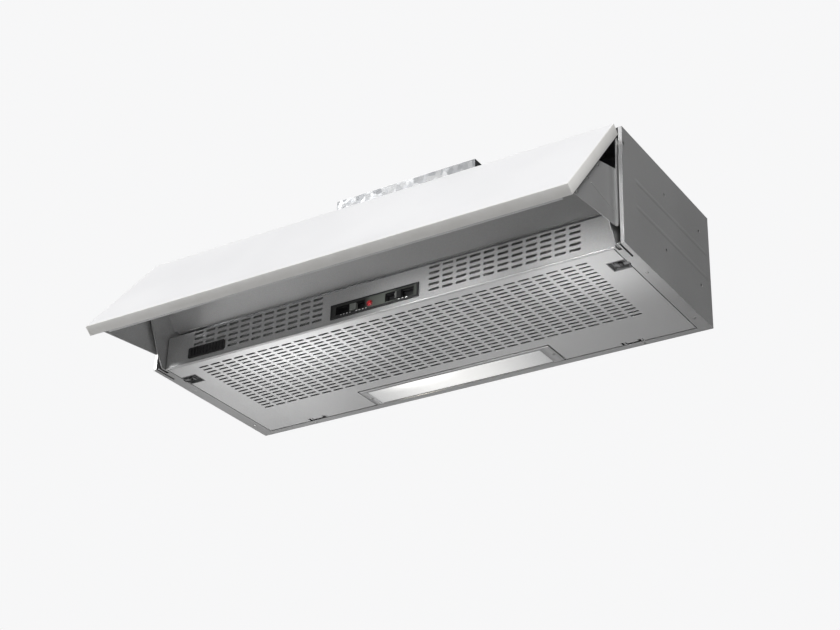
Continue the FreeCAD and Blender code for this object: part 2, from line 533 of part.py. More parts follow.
# ------------------------------------------------------------------- fan
def scroll_pts(extra):
    pts = []
    for i in range(0, 57):
        a = 80.0 + 280.0 * i / 56.0
        r = 78.0 + 34.0 * i / 56.0 + extra
        pts.append((FAN_Y + r * math.cos(math.radians(a)), FAN_Z + r * math.sin(math.radians(a))))
    return pts


SCROLL_TOP = BOX_Z - T
inner_p = scroll_pts(0.0)
x_cut = inner_p[0][0]
inner_o = inner_p + [(FAN_Y + 112.0, SCROLL_TOP), (x_cut, SCROLL_TOP)]
outer_p = [p for p in scroll_pts(2.0) if p[0] < x_cut - 3.0 or p[1] < FAN_Z]
outer_o = outer_p + [(FAN_Y + 114.0, SCROLL_TOP), (x_cut - 2.0, SCROLL_TOP), (x_cut - 2.0, outer_p[0][1] + 0.3)]
SC_HW = 55.0
shell = prism_x(outer_o, 0, SC_HW).cut(prism_x(inner_o, -1, SC_HW - 1.5))
shell = shell.cut(cyl_x(40, 60, FAN_Y, FAN_Z, 58.0)).removeSplitter()
write("scroll_half_right", shell)
write("scroll_half_left", mirror_x(shell))

# impeller: middle disc, end rings and forward-curved blades
imp = [cyl_x(-1, 1, FAN_Y, FAN_Z, 69.0), cyl_x(-14, 6, FAN_Y, FAN_Z, 11.0)]
for x0, x1 in ((-45, -43.6), (43.6, 45)):
    imp.append(cyl_x(x0, x1, FAN_Y, FAN_Z, 70.0).cut(cyl_x(x0 - 1, x1 + 1, FAN_Y, FAN_Z, 59.5)))
for i in range(32):
    b = box(-44.5, 44.5, 60.0, 69.6, -0.6, 0.6)
    b.rotate(V(0, 60, 0), V(1, 0, 0), 24)
    b = b.common(cyl_x(-50, 50, 0, 0, 69.6))
    b.rotate(V(0, 0, 0), V(1, 0, 0), i * 360.0 / 32)
    b.translate(V(0, FAN_Y, FAN_Z))
    imp.append(b)
imp = imp[0].multiFuse(imp[1:]).cut(cyl_x(-60, 60, FAN_Y, FAN_Z, 4.0)).removeSplitter()
write("impeller", imp)
write("motor_shaft", cyl_x(-16, 84, FAN_Y, FAN_Z, 4.0))
can = fuse(cyl_x(16, 72, FAN_Y, FAN_Z, 38.0), cyl_x(11, 16, FAN_Y, FAN_Z, 14.0), cyl_x(72, 80, FAN_Y, FAN_Z, 14.0))
for i in range(12):
    a = math.radians(i * 30)
    can = can.cut(cyl_x(66, 74, FAN_Y + 27 * math.cos(a), FAN_Z + 27 * math.sin(a), 3.0))
can = can.cut(cyl_x(0, 90, FAN_Y, FAN_Z, 4.08)).removeSplitter()
write("motor", can)
ring = cyl_x(59, 62, FAN_Y, FAN_Z, 43.0).cut(cyl_x(50, 70, FAN_Y, FAN_Z, 38.0))
arms = []
grom = []
for a in (30, 150, 270):
    arm = box(59, 62, 42, 74, -7, 7)
    arm.rotate(V(0, 0, 0), V(1, 0, 0), a)
    arm.translate(V(0, FAN_Y, FAN_Z))
    cy, cz = FAN_Y + 68 * math.cos(math.radians(a)), FAN_Z + 68 * math.sin(math.radians(a))
    arm = arm.cut(cyl_x(50, 70, cy, cz, 4.0))
    arms.append(arm)
    g = fuse(cyl_x(55, 59, cy, cz, 6.0), cyl_x(59, 62, cy, cz, 4.0), cyl_x(62, 64, cy, cz, 6.0))
    grom.append(g)
write("motor_bracket", fuse(ring, arms))
write("motor_grommets", group(grom))
cap = fuse(cyl_x(76, 124, 110, 188, 13.0), cyl_x(124, 127, 110, 188, 5.0))
cap_b = box(90, 110, 94, 126, 202, 204).fuse(box(90, 110, 108, 112, 198, 204)).cut(cyl_x(80, 120, 110, 188, 13.0))
cap = fuse(cap, box(94, 106, 108, 112, 199, 204))
write("capacitor", cap)

# --------------------------------------------------------------- electrics
eb = box(-415, -285, 200, 300, 150, 204).cut(box(-413.5, -286.5, 198, 298.5, 151.5, 205))
eb = eb.cut(cyl_z(140, 160, -400, 285, 5.0))
write("electrics_box", eb)
ec = box(-415, -285, 197.5, 200, 150, 204).fuse(box(-413.2, -286.8, 200, 202, 152, 203))
write("electrics_cover", fuse(ec, screw_head(-350, 197.5, 177, (0, -1, 0), 3.0, 1.4)))
tb = box(-380, -320, 262, 282, 151.5, 168)
for i in range(5):
    tb = tb.cut(cyl_z(160, 170, -374 + i * 12, 272, 3.2))
write("terminal_block", tb)
gl = fuse(cyl_z(HEIGHT, HEIGHT + 4, -350, 250, 13.0), cyl_z(196, HEIGHT, -350, 250, 7.9), cyl_z(HEIGHT + 4, HEIGHT + 20, -350, 250, 9.5))
hexa = []
for i in range(6):
    a = math.radians(60 * i)
    hexa.append((-350 + 12.5 * math.cos(a), 250 + 12.5 * math.sin(a)))
gl = gl.fuse(prism_z(hexa, HEIGHT + 4, HEIGHT + 12)).cut(cyl_z(190, HEIGHT + 25, -350, 250, 4.0)).removeSplitter()
write("cable_gland", gl)
loom = tube_path([(-46, 29.2, 22), (-46, 40, 22), (-46, 48, 42), (-300, 48, 42), (-400, 70, 42), (-418, 110, 42), (-418, 285, 42), (-400, 285, 60), (-400, 285, 175), (-380, 280, 176)], 2.5)
write("wiring_loom", loom)
print("done")
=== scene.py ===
import json
import math

import bmesh
import bpy
from mathutils import Matrix, Vector


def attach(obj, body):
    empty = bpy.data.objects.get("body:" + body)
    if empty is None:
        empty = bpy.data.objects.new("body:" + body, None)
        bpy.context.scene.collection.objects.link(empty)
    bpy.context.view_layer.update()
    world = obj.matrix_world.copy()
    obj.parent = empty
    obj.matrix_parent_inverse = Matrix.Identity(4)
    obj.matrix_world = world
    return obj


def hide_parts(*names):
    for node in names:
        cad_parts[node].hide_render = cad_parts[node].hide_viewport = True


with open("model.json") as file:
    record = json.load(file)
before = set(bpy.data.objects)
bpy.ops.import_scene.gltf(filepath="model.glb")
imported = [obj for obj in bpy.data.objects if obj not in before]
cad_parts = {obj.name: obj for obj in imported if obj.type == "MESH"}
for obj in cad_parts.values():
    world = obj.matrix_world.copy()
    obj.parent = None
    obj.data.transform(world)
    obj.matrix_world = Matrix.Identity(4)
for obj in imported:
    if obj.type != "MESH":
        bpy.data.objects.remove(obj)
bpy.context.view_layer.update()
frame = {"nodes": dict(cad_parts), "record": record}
N = frame["nodes"]

# The object's drawing frame: x to the right, yf back from the front edge, z up from the underside, in millimetres.
DEPTH = 320.0


def P(x, yf, z):
    return Vector((x * 0.001, (yf - DEPTH) * 0.001, z * 0.001))


# ------------------------------------------------------------------ material kit
class Mat:
    """small helper that wires one procedural material"""

    def __init__(self, name):
        self.m = bpy.data.materials.new(name)
        self.m.use_nodes = True
        self.nt = self.m.node_tree
        self.nt.nodes.clear()
        self.out = self.nt.nodes.new("ShaderNodeOutputMaterial")
        self.co = self.nt.nodes.new("ShaderNodeTexCoord")

    def node(self, kind, **inputs):
        n = self.nt.nodes.new(kind)
        for k, v in inputs.items():
            key = k.replace("_", " ")
            if key in n.inputs:
                n.inputs[key].default_value = v
        return n

    def link(self, a, b):
        self.nt.links.new(a, b)
        return b

    def vec(self, scale=(1, 1, 1), rot=(0, 0, 0), loc=(0, 0, 0)):
        """object position in millimetres, stretched"""
        n = self.nt.nodes.new("ShaderNodeMapping")
        n.inputs["Scale"].default_value = tuple(1000.0 * s for s in scale)
        n.inputs["Rotation"].default_value = rot
        n.inputs["Location"].default_value = loc
        self.link(self.co.outputs["Object"], n.inputs["Vector"])
        return n.outputs["Vector"]

    def noise(self, mm, detail=2.0, rough=0.5, scale=(1, 1, 1), rot=(0, 0, 0), loc=(0, 0, 0), distortion=0.0):
        """noise with features of about mm millimetres"""
        n = self.nt.nodes.new("ShaderNodeTexNoise")
        n.inputs["Scale"].default_value = 1.0 / mm
        n.inputs["Detail"].default_value = detail
        n.inputs["Roughness"].default_value = rough
        n.inputs["Distortion"].default_value = distortion
        self.link(self.vec(scale, rot, loc), n.inputs["Vector"])
        return n.outputs["Fac"]

    def voronoi(self, mm, feature="F1", out="Distance", scale=(1, 1, 1)):
        n = self.nt.nodes.new("ShaderNodeTexVoronoi")
        n.feature = feature
        n.inputs["Scale"].default_value = 1.0 / mm
        self.link(self.vec(scale), n.inputs["Vector"])
        return n.outputs[out]

    def axis(self, which):
        """object position along one axis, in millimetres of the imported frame"""
        s = self.nt.nodes.new("ShaderNodeSeparateXYZ")
        self.link(self.vec(), s.inputs[0])
        return s.outputs["XYZ".index(which)]

    def math(self, op, a, b=None, c=None, clamp=False):
        n = self.nt.nodes.new("ShaderNodeMath")
        n.operation = op
        n.use_clamp = clamp
        for i, v in enumerate((a, b, c)):
            if v is None:
                continue
            if isinstance(v, (int, float)):
                n.inputs[i].default_value = v
            else:
                self.link(v, n.inputs[i])
        return n.outputs[0]

    def remap(self, v, a, b, c, d, smooth=False):
        n = self.nt.nodes.new("ShaderNodeMapRange")
        n.interpolation_type = "SMOOTHSTEP" if smooth else "LINEAR"
        for k, x in (("From Min", a), ("From Max", b), ("To Min", c), ("To Max", d)):
            n.inputs[k].default_value = x
        self.link(v, n.inputs["Value"])
        return n.outputs["Result"]

    def ramp(self, v, stops):
        n = self.nt.nodes.new("ShaderNodeValToRGB")
        r = n.color_ramp
        while len(r.elements) > 1:
            r.elements.remove(r.elements[-1])
        for i, (p, c) in enumerate(stops):
            e = r.elements[0] if i == 0 else r.elements.new(p)
            e.position = p
            e.color = (*(c if hasattr(c, "__len__") else (c, c, c)), 1.0)
        self.link(v, n.inputs[0])
        return n.outputs[0]

    def mix(self, fac, a, b, mode="MIX"):
        n = self.nt.nodes.new("ShaderNodeMix")
        n.data_type = "RGBA"
        n.blend_type = mode
        n.clamp_factor = True
        if isinstance(fac, (int, float)):
            n.inputs[0].default_value = fac
        else:
            self.link(fac, n.inputs[0])
        for i, v in ((6, a), (7, b)):
            if hasattr(v, "is_linked") or hasattr(v, "links"):
                self.link(v, n.inputs[i])
            else:
                n.inputs[i].default_value = (*(v if hasattr(v, "__len__") else (v, v, v)), 1.0)
        return n.outputs[2]

    def bump(self, h, dist, strength=1.0, normal=None):
        n = self.nt.nodes.new("ShaderNodeBump")
        n.inputs["Strength"].default_value = strength
        n.inputs["Distance"].default_value = dist * 0.001
        self.link(h, n.inputs["Height"])
        if normal is not None:
            self.link(normal, n.inputs["Normal"])
        return n.outputs[0]

    def bevel(self, mm=0.4):
        """normal that rolls over sharp sheet and mould edges"""
        n = self.nt.nodes.new("ShaderNodeBevel")
        n.samples = 4
        n.inputs["Radius"].default_value = mm * 0.001
        return n.outputs[0]

    def bsdf(self, color, rough, metallic=0.0, normal=None, **extra):
        n = self.nt.nodes.new("ShaderNodeBsdfPrincipled")
        for key, v in (("Base Color", color), ("Roughness", rough), ("Metallic", metallic)):
            if hasattr(v, "links"):
                self.link(v, n.inputs[key])
            elif key == "Base Color":
                n.inputs[key].default_value = (*v, 1.0)
            else:
                n.inputs[key].default_value = v
        if normal is not None:
            self.link(normal, n.inputs["Normal"])
        for k, v in extra.items():
            key = k.replace("_", " ")
            if hasattr(v, "links"):
                self.link(v, n.inputs[key])
            else:
                n.inputs[key].default_value = v
        self.link(n.outputs[0], self.out.inputs["Surface"])
        self.shader = n
        return self.m


def silver(name, base=0.58, rough=0.44, metallic=0.60, tint=(1.0, 1.0, 1.01), speck=0.10, along=None, axis="X", pressed=False):
    """metallic grey stoving paint: fine flake speckle, faint clouding, dusty handling marks;
    along gives (mm, factor) stops for a slow change of tone along the sheet, painted light and shade: brighter where
    the sheet is lit, darker where it lies in shade; pressed adds beads and weld marks"""
    k = Mat(name)
    flake = k.noise(0.9, 3.0, 0.6)
    flake2 = k.voronoi(0.8, out="Color")
    cloud = k.noise(120.0, 3.0, 0.55)
    f = k.ramp(flake, [(0.30, base * (1 - speck * 1.6)), (0.50, base), (0.72, min(1.0, base * (1 + speck * 1.9)))])
    c = k.mix(k.remap(cloud, 0.3, 0.7, 0.0, 0.10), f, tuple(base * 0.9 * t for t in tint))
    c = k.mix(0.10, c, flake2, "SOFT_LIGHT")
    # painted light and shade: the base colour is multiplied by a tone ramp along one axis
    if along:
        lo, hi = along[0][0], along[-1][0]
        tone = k.ramp(k.remap(k.axis(axis), lo, hi, 0.0, 1.0), [((x - lo) / (hi - lo), f) for x, f in along])
        c = k.mix(1.0, c, tone, "MULTIPLY")
    r = k.math("ADD", k.remap(flake, 0.3, 0.7, rough - 0.05, rough + 0.06), k.remap(cloud, 0.3, 0.7, -0.03, 0.05))
    nrm = k.bump(flake, 0.02, 0.5, k.bevel(0.45))
    nrm = k.bump(k.noise(14.0, 2.0), 0.03, 0.5, nrm)
    if pressed:
        nrm = k.bump(side_marks(k), 1.0, 1.0, nrm)
    return k.bsdf(c, r, metallic, nrm)


def side_marks(k):
    """two long pressed beads and the rows of spot weld marks on a side wall, as heights"""
    y, z = k.axis("Y"), k.axis("Z")
    ends = k.math("MULTIPLY", k.remap(y, -280.0, -266.0, 0.0, 1.0, True), k.remap(y, -20.0, -6.0, 1.0, 0.0, True))
    h = None
    for zc in (85.0, 130.0):
        b = k.remap(k.math("ABSOLUTE", k.math("SUBTRACT", z, zc)), 0.0, 5.5, 1.0, 0.0, True)
        h = b if h is None else k.math("MAXIMUM", h, b)
    h = k.math("MULTIPLY", h, ends)
    dy = k.math("PINGPONG", k.math("ADD", y, 302.0 + 470.0), 23.5)
    for zc in (10.0, 196.0):
        dz = k.math("SUBTRACT", z, zc)
        d = k.math("SQRT", k.math("ADD", k.math("MULTIPLY", dy, dy), k.math("MULTIPLY", dz, dz)))
        h = k.math("SUBTRACT", h, k.math("MULTIPLY", k.remap(d, 1.6, 2.8, 1.0, 0.0, True), 0.25))
    return h


def zinc(name, base=0.27):
    """galvanised sheet with crystal spangle"""
    k = Mat(name)
    cell = k.voronoi(9.0, out="Color")
    sep = k.nt.nodes.new("ShaderNodeSeparateColor")
    k.link(cell, sep.inputs[0])
    fine = k.noise(1.5, 4.0, 0.6)
    c = k.mix(k.remap(sep.outputs[0], 0, 1, 0.0, 1.0), (base * 0.80, base * 0.82, base * 0.85), (base * 1.18, base * 1.19, base * 1.2))
    c = k.mix(0.25, c, k.ramp(fine, [(0.3, 0.3), (0.7, 0.65)]), "OVERLAY")
    r = k.math("ADD", k.remap(sep.outputs[1], 0, 1, 0.30, 0.50), k.remap(fine, 0.3, 0.7, -0.04, 0.06))
    return k.bsdf(c, r, 0.9, k.bump(fine, 0.02, 0.5))


def plastic(name, color, rough=0.45, grain=0.5, depth=0.03, vary=0.12):
    """moulded plastic: eroded mould texture, slight colour drift"""
    k = Mat(name)
    g = k.noise(grain, 3.0, 0.6)
    cloud = k.noise(25.0, 2.0)
    lo = tuple(v * (1 - vary) for v in color)
    hi = tuple(min(1.0, v * (1 + vary)) for v in color)
    c = k.mix(k.remap(cloud, 0.35, 0.65, 0, 1), lo, hi)
    c = k.mix(k.remap(g, 0.3, 0.7, 0.0, 0.25), c, tuple(min(1.0, v * 1.35 + 0.01) for v in color))
    r = k.math("ADD", k.remap(g, 0.3, 0.7, rough - 0.08, rough + 0.08), k.remap(cloud, 0.3, 0.7, -0.03, 0.03))
    return k.bsdf(c, r, 0.0, k.bump(g, depth, 0.7, k.bevel(0.3)))


def bright_steel(name, base=0.58, rough=0.28):
    """zinc plated fasteners and pins, with turned marks"""
    k = Mat(name)
    g = k.noise(0.5, 3.0, 0.6)
    band = k.noise(4.0, 2.0)
    c = k.ramp(g, [(0.3, (base * 0.8, base * 0.8, base * 0.79)), (0.7, (base * 1.2, base * 1.19, base * 1.15))])
    c = k.mix(k.remap(band, 0.4, 0.7, 0, 0.4), c, (base * 0.7, base * 0.71, base * 0.74))
    return k.bsdf(c, k.remap(g, 0.3, 0.7, rough - 0.06, rough + 0.12), 0.95, k.bump(g, 0.01, 0.4))


def board(name):
    """matt white foil on the furniture panel, with the edge band a shade warmer"""
    k = Mat(name)
    fine = k.noise(0.8, 3.0, 0.6)
    cloud = k.noise(160.0, 2.0)
    c = k.mix(k.remap(cloud, 0.3, 0.7, 0, 1), (0.855, 0.855, 0.868), (0.885, 0.885, 0.895))
    c = k.mix(k.remap(fine, 0.35, 0.65, 0, 0.12), c, (0.80, 0.80, 0.80))
    r = k.math("ADD", k.remap(fine, 0.3, 0.7, 0.36, 0.46), k.remap(cloud, 0.3, 0.7, -0.03, 0.03))
    return k.bsdf(c, r, 0.0, k.bump(fine, 0.012, 0.5))


M = {}
M["silver_paint"] = silver("silver_paint")
M["silver_grille"] = silver("silver_grille", base=0.62, rough=0.43)
M["galvanised_sheet"] = zinc("galvanised_sheet")
M["white_board"] = board("white_board")
M["screw_steel"] = bright_steel("screw_steel")
M["black_plastic"] = plastic("black_plastic", (0.018, 0.018, 0.019), 0.42)
M["latch_grey"] = plastic("latch_grey", (0.165, 0.166, 0.168), 0.42, 0.5, 0.02)
M["white_enamel"] = plastic("white_enamel", (0.80, 0.80, 0.79), 0.30, 1.2, 0.01, 0.03)
M["ceramic_holder"] = plastic("ceramic_holder", (0.72, 0.70, 0.66), 0.35, 0.8, 0.02, 0.05)
M["grey_plastic"] = plastic("grey_plastic", (0.16, 0.165, 0.17), 0.48)
M["dark_grey_plastic"] = plastic("dark_grey_plastic", (0.052, 0.054, 0.057), 0.46)
M["motor_metal"] = bright_steel("motor_metal", 0.36, 0.42)
M["rubber"] = plastic("rubber", (0.02, 0.02, 0.02), 0.75, 1.5, 0.04)
M["capacitor_plastic"] = plastic("capacitor_plastic", (0.55, 0.55, 0.53), 0.35, 0.8, 0.01, 0.05)
M["terminal_plastic"] = plastic("terminal_plastic", (0.62, 0.60, 0.54), 0.4, 0.6, 0.02, 0.05)
M["cable_sleeve"] = plastic("cable_sleeve", (0.03, 0.03, 0.032), 0.5, 1.0, 0.03)
M["filter_fleece"] = plastic("filter_fleece", (0.020, 0.021, 0.022), 0.9, 0.7, 0.5, 0.3)
M["knob_plastic"] = plastic("knob_plastic", (0.20, 0.21, 0.195), 0.40, 0.4, 0.02)
M["impeller_plastic"] = plastic("impeller_plastic", (0.06, 0.062, 0.065), 0.5)


def knob_painted_highlight():
    """light switch knob: black, with a painted highlight that makes its left end grey"""
    k = Mat("light_knob")
    g = k.noise(0.4, 3.0, 0.6)
    # painted highlight on the knob's left end
    lit = k.remap(k.axis("X"), 44.6, 45.0, 1.0, 0.0)
    c = k.mix(lit, (0.016, 0.017, 0.017), (0.16, 0.165, 0.155))
    c = k.mix(k.remap(g, 0.35, 0.65, 0.0, 0.2), c, (0.06, 0.062, 0.06))
    return k.bsdf(c, k.remap(g, 0.3, 0.7, 0.32, 0.46), 0.0, k.bump(g, 0.02, 0.6, k.bevel(0.3)))


def switch_plate():
    """grey-green front plate of the control window, with painted shade darkening it round both switch openings"""
    k = Mat("switch_plate")
    g = k.noise(0.4, 3.0, 0.6)
    # painted shade: a tone ramp along X darkens the plate round both switch openings
    t = k.ramp(k.remap(k.axis("X"), -80.0, 80.0, 0.0, 1.0), [(0.0, 0.22), (0.40, 0.20), (0.46, 1.0), (0.70, 1.0), (0.76, 0.45), (0.93, 0.40), (1.0, 0.62)])
    c = k.mix(k.remap(k.noise(25.0, 2.0), 0.35, 0.65, 0, 1), (0.100, 0.109, 0.096), (0.124, 0.135, 0.120))
    c = k.mix(k.remap(g, 0.3, 0.7, 0.0, 0.25), c, (0.16, 0.17, 0.155))
    c = k.mix(1.0, c, t, "MULTIPLY")
    return k.bsdf(c, k.remap(g, 0.3, 0.7, 0.30, 0.44), 0.0, k.bump(g, 0.01, 0.7, k.bevel(0.3)))


def cover_groove():
    """narrow step round the clear window: dark in shade, catching light at the left end"""
    k = Mat("cover_groove")
    g = k.noise(0.8, 3.0, 0.6)
    lit = k.remap(k.axis("X"), -174.6, -174.0, 1.0, 0.0)
    c = k.mix(lit, (0.13, 0.135, 0.14), (0.88, 0.89, 0.90))
    c = k.mix(k.remap(g, 0.35, 0.65, 0.0, 0.2), c, (0.30, 0.31, 0.32))
    return k.bsdf(c, k.remap(g, 0.3, 0.7, 0.25, 0.4), 0.0, k.bump(g, 0.01, 0.5))


def red_lens():
    k = Mat("red_lens")
    g = k.noise(1.2, 2.0)
    c = k.ramp(g, [(0.3, (0.36, 0.008, 0.012)), (0.7, (0.56, 0.020, 0.025))])
    m = k.bsdf(c, k.remap(g, 0.3, 0.7, 0.10, 0.20), 0.0, k.bump(g, 0.02, 0.3), Coat_Weight=0.6, Emission_Strength=0.12)
    k.link(c, k.shader.inputs["Emission Color"])
    return m


def lens_plastic():
    k = Mat("lens_plastic")
    g = k.noise(1.0, 3.0, 0.6)
    c = k.ramp(g, [(0.3, (0.74, 0.75, 0.76)), (0.7, (0.84, 0.85, 0.86))])
    # the lamp shines through: a long soft patch over the bulb
    x = k.axis("X")
    y = k.axis("Y")
    dx = k.math("DIVIDE", k.math("SUBTRACT", x, -72.0), 52.0)
    dy = k.math("DIVIDE", k.math("SUBTRACT", y, -62.0), 13.0)
    d = k.math("SQRT", k.math("ADD", k.math("MULTIPLY", dx, dx), k.math("MULTIPLY", dy, dy)))
    near = k.math("POWER", k.remap(d, 0.0, 2.0, 1.0, 0.0), 2.0)
    far = k.ramp(k.remap(x, -180.0, 172.0, 0.0, 1.0), [(0.0, 0.16), (0.10, 0.28), (0.22, 0.46), (0.34, 0.60), (0.48, 0.60), (0.66, 0.48), (0.82, 0.30), (0.93, 0.17), (1.0, 0.10)])
    e = k.math("ADD", k.math("MULTIPLY", near, 0.7), far)
    m = k.bsdf(c, k.remap(g, 0.3, 0.7, 0.22, 0.34), 0.0, k.bump(g, 0.02, 0.4), IOR=1.49)
    k.shader.inputs["Emission Color"].default_value = (1.0, 0.985, 0.95, 1.0)
    k.link(e, k.shader.inputs["Emission Strength"])
    return m


def lamp_glass():
    k = Mat("lamp_glass")
    g = k.noise(2.0, 2.0)
    c = k.ramp(g, [(0.3, (0.85, 0.84, 0.80)), (0.7, (0.95, 0.94, 0.90))])
    k.bsdf(c, k.remap(g, 0.3, 0.7, 0.12, 0.2), 0.0, Emission_Strength=6.0)
    k.shader.inputs["Emission Color"].default_value = (1.0, 0.93, 0.80, 1.0)
    return k.m


# edge band: warm light grey, partly its own colour and partly painted shade on the panel's underside edge
def edge_band(name):
    k = Mat(name)
    g = k.noise(0.6, 3.0, 0.6)
    c = k.mix(k.remap(k.noise(30.0, 2.0), 0.35, 0.65, 0, 1), (0.80, 0.79, 0.765), (0.84, 0.83, 0.81))
    return k.bsdf(c, k.remap(g, 0.3, 0.7, 0.34, 0.46), 0.0, k.bump(g, 0.015, 0.5))


# hem: painted highlight from a lighter copy of the silver paint, with painted shade darkening it towards the right end
M["silver_hem"] = silver("silver_hem", base=0.66, rough=0.42, speck=0.04, along=((-430, 1.0), (150, 1.0), (300, 0.72), (430, 0.62)))
M["mark_white"] = plastic("mark_white", (0.93, 0.93, 0.92), 0.5, 0.3, 0.01, 0.02)
# mesh pads: painted light gives the left pad a bright glinting tone, and painted shade darkens the right pad
M["aluminium_mesh"] = silver("aluminium_mesh", 0.85, 0.30, 0.80, along=((-380, 0.75), (-200, 1.0), (-90, 1.0), (90, 0.28), (380, 0.24)))
M["light_knob"] = knob_painted_highlight()
M["switch_plate"] = switch_plate()
M["edge_band"] = edge_band("edge_band")
M["cover_flange"] = silver("cover_flange", 0.52, 0.42, 0.50)
M["cover_groove"] = cover_groove()
M["red_collar"] = plastic("red_collar", (0.34, 0.045, 0.055), 0.25, 0.5, 0.01, 0.1)
# web: painted shade, the silver paint darkened towards the right end
M["silver_web"] = silver("silver_web", base=0.58, along=((-430, 1.0), (-200, 0.95), (-60, 0.86), (100, 0.78), (250, 0.66), (430, 0.62)))
# bottom strips: painted shade, a darker copy of the silver paint, darkest towards the left end
M["silver_strips"] = silver("silver_strips", base=0.51, along=((-450, 0.80), (-300, 0.86), (300, 1.0), (450, 1.0)))
M["silver_side"] = silver("silver_side", pressed=True)
# right cheek: painted shadow, the sheet behind about Y -334 mm darkened with a soft edge
M["silver_cheek_right"] = silver("silver_cheek_right", along=((-480, 1.0), (-352, 1.0), (-334, 0.62), (-320, 0.55), (-200, 0.55)), axis="Y")
# left cheek: painted light, a lighter copy of the silver paint
M["silver_cheek_left"] = silver("silver_cheek_left", base=0.72)
M["red_lens"] = red_lens()
M["lens_plastic"] = lens_plastic()
M["lamp_glass"] = lamp_glass()

SLOT_OF = {s["node"]: s.get("material_slot") for s in frame["record"]["subparts"]}


def dress(node, mat):
    o = N[node]
    o.data.materials.clear()
    o.data.materials.append(mat)
    for p in o.data.polygons:
        p.material_index = 0


for node in N:
    slot = SLOT_OF.get(node)
    if slot in M:
        dress(node, M[slot])
    else:
        dress(node, M["galvanised_sheet"])
dress("filter_grille", M["silver_grille"])
dress("light_knob", M["light_knob"])
dress("baffle_frame", M["silver_web"])
dress("bottom_frame", M["silver_strips"])
dress("side_wall_left", M["silver_side"])
dress("side_wall_right", M["silver_side"])
dress("cheek_left", M["silver_cheek_left"])
dress("cheek_right", M["silver_cheek_right"])
dress("grille_hinge_pins", M["silver_paint"])
for latch in ("latch_housing_left", "latch_housing_right", "latch_slider_left", "latch_slider_right"):
    dress(latch, M["latch_grey"])

# ------------------------------------------------------------------ mesh kit
def piece(name, bm, mats, body, smooth=40.0, replaces=()):
    bmesh.ops.recalc_face_normals(bm, faces=bm.faces[:])
    me = bpy.data.meshes.new(name)
    bm.to_mesh(me)
    bm.free()
    o = bpy.data.objects.new(name, me)
    bpy.context.scene.collection.objects.link(o)
    for m in mats if isinstance(mats, (list, tuple)) else [mats]:
        me.materials.append(m)
    if smooth:
        me.shade_smooth()
        me.set_sharp_from_angle(angle=math.radians(smooth))
    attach(o, body)
    if replaces:
        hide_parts(*replaces)
    return o


def put_frame(x, y, z):
    return P(x, y, z)


def strip_rings(bm, rings, closed=True, caps=False, mat=0):
    """joins rows of points into one skin; each ring is a list of verts of equal length"""
    faces = []
    for a, b in zip(rings[:-1], rings[1:]):
        n = len(a)
        for i in range(n if closed else n - 1):
            j = (i + 1) % n
            faces.append(bm.faces.new((a[i], a[j], b[j], b[i])))
    if caps:
        faces.append(bm.faces.new(list(reversed(rings[0]))))
        faces.append(bm.faces.new(rings[-1]))
    for f in faces:
        f.material_index = mat
    return faces


def loop_rings(bm, rings, mat=0):
    """a closed band: the last ring joins the first"""
    strip_rings(bm, rings + [rings[0]], True, False, mat)


def rounded_rect(u0, u1, v0, v1, r, n=4):
    pts = []
    for cx, cy, a0 in ((u1 - r, v1 - r, 0), (u0 + r, v1 - r, 90), (u0 + r, v0 + r, 180), (u1 - r, v0 + r, 270)):
        for i in range(n + 1):
            a = math.radians(a0 + 90.0 * i / n)
            pts.append((cx + r * math.cos(a), cy + r * math.sin(a)))
    return pts


def block(bm, put, u0, u1, v0, v1, w0, w1, r=0.5, edge=0.3, n=3, mat=0):
    """rounded block: outline in (u, v), softened edges at both ends of w"""
    lv = [(w0, edge), (w0 + edge * 0.3, edge * 0.3), (w0 + edge, 0.0), (w1 - edge, 0.0), (w1 - edge * 0.3, edge * 0.3), (w1, edge)]
    rings = []
    for w, inset in lv:
        pts = rounded_rect(u0 + inset, u1 - inset, v0 + inset, v1 - inset, max(0.05, r - inset * 0.5), n)
        rings.append([bm.verts.new(put(u, v, w)) for u, v in pts])
    strip_rings(bm, rings, True, True, mat)


def lathe(bm, put, profile, n=24, mat=0, caps=True):
    """profile of (radius, w) turned round the w axis"""
    rings = []
    for r, w in profile:
        rings.append([bm.verts.new(put(r * math.cos(2 * math.pi * i / n), r * math.sin(2 * math.pi * i / n), w)) for i in range(n)])
    strip_rings(bm, rings, True, caps, mat)


def slot_ring(bm, put, cu, cv, length, width, profile, n=8):
    """rolled lip round one slot; profile is a closed loop of (outward, depth)"""
    r = width / 2
    h = length / 2 - r
    rings = []
    for o, w in profile:
        pts = []
        for sx, a0 in ((1, -90), (-1, 90)):
            for i in range(n + 1):
                a = math.radians(a0 + 180.0 * i / n)
                pts.append((cu + sx * h + (r + o) * math.cos(a), cv + (r + o) * math.sin(a)))
        rings.append([bm.verts.new(put(u, v, w)) for u, v in pts])
    loop_rings(bm, rings)


OPEN = math.radians(39.0)
HINGE_Y, HINGE_Z = 7.0, 176.0


def PF(x, y, z):
    """upright flap position to the open rest position"""
    dy, dz = y - HINGE_Y, z - HINGE_Z
    return P(x, HINGE_Y + dy * math.cos(OPEN) + dz * math.sin(OPEN), HINGE_Z - dy * math.sin(OPEN) + dz * math.cos(OPEN))


# ------------------------------------------------------------------ rolled slot lips
LIP = [(0.58, 0.05), (0.44, -0.11), (0.18, -0.17), (-0.02, -0.08), (-0.06, 0.14), (-0.02, 0.60), (0.35, 0.45)]


def grille_lips():
    bm = bmesh.new()
    put = lambda u, v, w: P(u, v, w)
    for i in range(30):
        for j in range(18):
            slot_ring(bm, put, (i - 14.5) * 25.0, 29.6 + 11.0 * j, 20.0, 4.6, LIP)
    return piece("grille_slot_lips", bm, M["silver_grille"], "grille")


